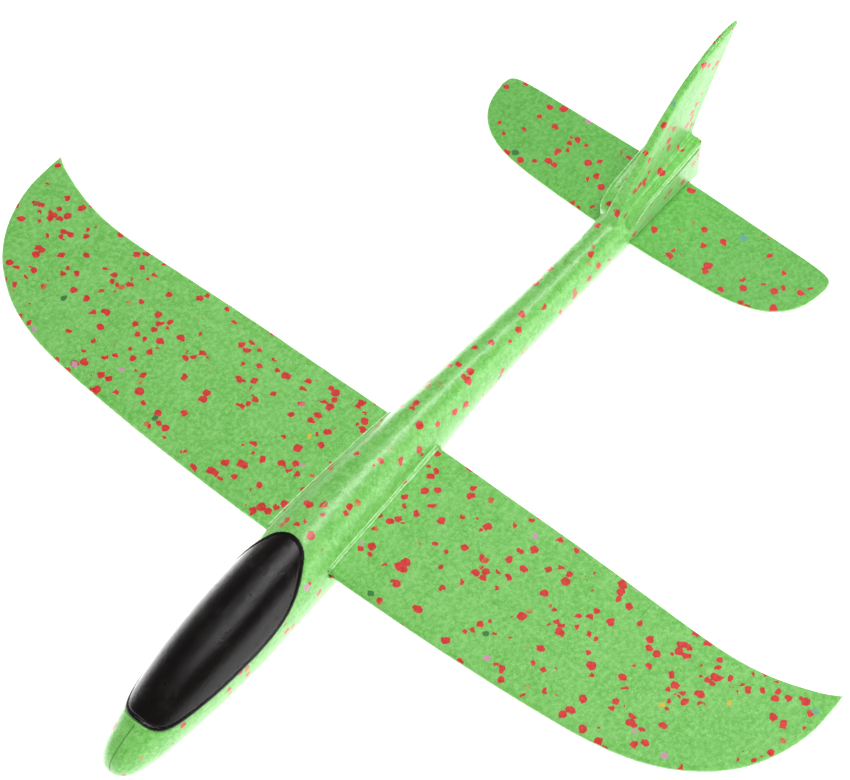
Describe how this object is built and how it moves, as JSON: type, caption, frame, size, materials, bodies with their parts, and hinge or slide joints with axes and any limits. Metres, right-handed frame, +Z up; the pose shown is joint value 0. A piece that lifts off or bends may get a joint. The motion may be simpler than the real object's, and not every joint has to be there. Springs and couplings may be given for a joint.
{
  "type": "moulded foam hand launch glider",
  "caption": "Hand-launch glider moulded in flecked bead foam: through-slot wing with trim flaps, through-slot tailplane, integral fin, glossy dark canopy.",
  "frame": {"origin": "on the flat belly land the glider rests on, under the wing's front third, where it balances", "axes": "+X out of the nose, +Y to the port wing tip, +Z up along the fin"},
  "size_m": [0.4642, 0.48, 0.097],
  "materials": {
    "foam_fuselage": "moulded bead foam, satin, green with red flecks",
    "foam_wing": "moulded bead foam, satin, green with red flecks",
    "canopy_gloss": "gloss black film",
    "steel": "turned"
  },
  "bodies": {
    "fuselage_body": {"fuselage": "foam_fuselage", "canopy": "canopy_gloss", "nose_weight": "steel"},
    "wing_body": {"main_wing": "foam_wing"},
    "flap_port_body": {"trim_flap_port": "foam_wing"},
    "flap_starboard_body": {"trim_flap_starboard": "foam_wing"},
    "tailplane_body": {"tailplane": "foam_wing"}
  },
  "joints": [
    {"name": "wing_slide", "type": "slide", "parent": "fuselage_body", "child": "wing_body", "axis": [0, 1, 0], "range_m": [-0.012, 0.012]},
    {"name": "tail_slide", "type": "slide", "parent": "fuselage_body", "child": "tailplane_body", "axis": [0, 1, 0], "range_m": [-0.08, 0.08]},
    {"name": "trim_flap_port_hinge", "type": "hinge", "parent": "wing_body", "child": "flap_port_body", "pos_m": [-0.0464, 0.088, 0.0283], "axis": [0, 1, 0], "range_deg": [-15, 15]},
    {"name": "trim_flap_starboard_hinge", "type": "hinge", "parent": "wing_body", "child": "flap_starboard_body", "pos_m": [-0.0464, -0.088, 0.0283], "axis": [0, 1, 0], "range_deg": [-15, 15]}
  ]
}
